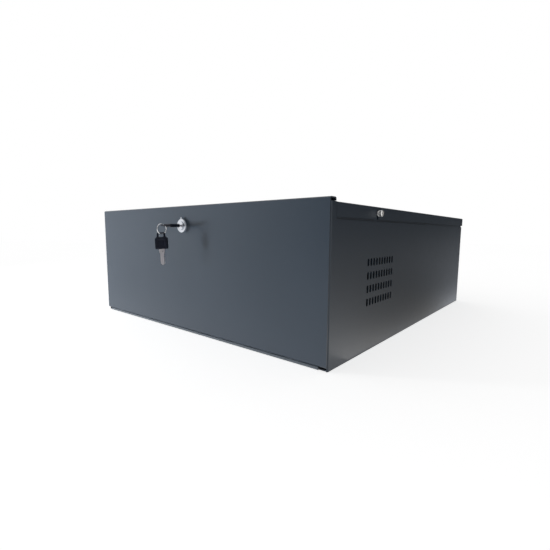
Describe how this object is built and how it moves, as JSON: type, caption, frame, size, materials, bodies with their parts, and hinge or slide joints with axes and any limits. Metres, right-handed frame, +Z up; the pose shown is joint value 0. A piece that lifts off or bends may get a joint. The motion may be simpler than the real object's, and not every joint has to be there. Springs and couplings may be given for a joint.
{
  "type": "dvr lock box",
  "caption": "Low steel lock box for a video recorder, with a drop-down front door, cam lock and keys, rear-hinged lid and side vents.",
  "frame": {"origin": "middle of the floor's underside, halfway between the front door's face and the lid's rear flange", "axes": "+X to the right side seen from the front, +Y towards the rear, +Z up; the door faces -Y"},
  "size_m": [0.5486, 0.6583, 0.2032],
  "materials": {
    "case_paint": "satin dark blue-grey powder coat",
    "hinge_steel": "plain rolled steel",
    "rivet_steel": "dull",
    "zinc_steel": "bright zinc plate",
    "screw_nickel": "nickel plated",
    "lock_chrome": "polished",
    "key_steel": "nickel plated",
    "ring_steel": "bright wire",
    "key_plastic": "black moulding",
    "fan_plastic": "black moulding",
    "guard_steel": "plated wire",
    "rubber": "matt"
  },
  "bodies": {
    "case": {"floor_pan": "case_paint", "left_side_panel": "case_paint", "right_side_panel": "case_paint", "rear_panel": "case_paint", "front_top_rail": "case_paint", "door_hinge_body_leaf": "case_paint", "door_hinge_pin": "hinge_steel", "lid_hinge_body_leaf": "case_paint", "lid_hinge_pin": "hinge_steel", "lid_hinge_body_rivets": "rivet_steel", "thumbscrew_clinch_nuts": "zinc_steel", "fan_frame": "fan_plastic", "fan_guard_rings": "guard_steel", "fan_guard_spokes": "guard_steel", "fan_screws": "zinc_steel", "fan_nuts": "zinc_steel", "cable_grommets": "rubber"},
    "door": {"front_door": "case_paint", "door_hinge_door_leaf": "case_paint", "lock_housing": "lock_chrome", "lock_nut": "zinc_steel"},
    "lid": {"top_lid": "case_paint", "lid_hinge_lid_leaf": "case_paint", "lid_hinge_lid_rivets": "rivet_steel", "lid_keeper": "case_paint"},
    "lock_core": {"lock_plug": "lock_chrome", "lock_cam": "zinc_steel", "cam_screw": "zinc_steel"},
    "key": {"key_blade": "key_steel", "key_bow": "key_plastic"},
    "ring": {"key_ring": "ring_steel"},
    "spare_key": {"spare_key_blade": "key_steel", "spare_key_bow": "key_plastic"},
    "left_screw": {"left_thumbscrew": "screw_nickel"},
    "right_screw": {"right_thumbscrew": "screw_nickel"},
    "rotor": {"fan_rotor": "fan_plastic"}
  },
  "joints": [
    {"name": "door_swing", "type": "hinge", "parent": "case", "child": "door", "pos_m": [0, -0.3029, 0.0025], "axis": [1, 0, 0], "range_deg": [0, 90]},
    {"name": "lid_swing", "type": "hinge", "parent": "case", "child": "lid", "pos_m": [0, 0.30055, 0.1778], "axis": [-1, 0, 0], "range_deg": [0, 100]},
    {"name": "lock_turn", "type": "hinge", "parent": "door", "child": "lock_core", "pos_m": [0, -0.29, 0.172], "axis": [0, -1, 0], "range_deg": [0, 90]},
    {"name": "key_pull", "type": "slide", "parent": "lock_core", "child": "key", "axis": [0, -1, 0], "range_m": [0, 0.02]},
    {"name": "ring_swing", "type": "hinge", "parent": "key", "child": "ring", "pos_m": [-0.0005, -0.3428, 0.172], "axis": [-1, 0, 0], "range_deg": [0, 15]},
    {"name": "spare_swing", "type": "hinge", "parent": "ring", "child": "spare_key", "pos_m": [-0.0005, -0.344, 0.1588], "axis": [0, 1, 0], "range_deg": [-15, 15]},
    {"name": "left_screw_turn", "type": "hinge", "parent": "case", "child": "left_screw", "pos_m": [-0.2667, -0.18, 0.1892], "axis": [-1, 0, 0], "continuous": true},
    {"name": "right_screw_turn", "type": "hinge", "parent": "case", "child": "right_screw", "pos_m": [0.2667, -0.18, 0.1892], "axis": [1, 0, 0], "continuous": true},
    {"name": "fan_spin", "type": "hinge", "parent": "case", "child": "rotor", "pos_m": [0.13, 0.285, 0.098], "axis": [0, 1, 0], "continuous": true}
  ]
}
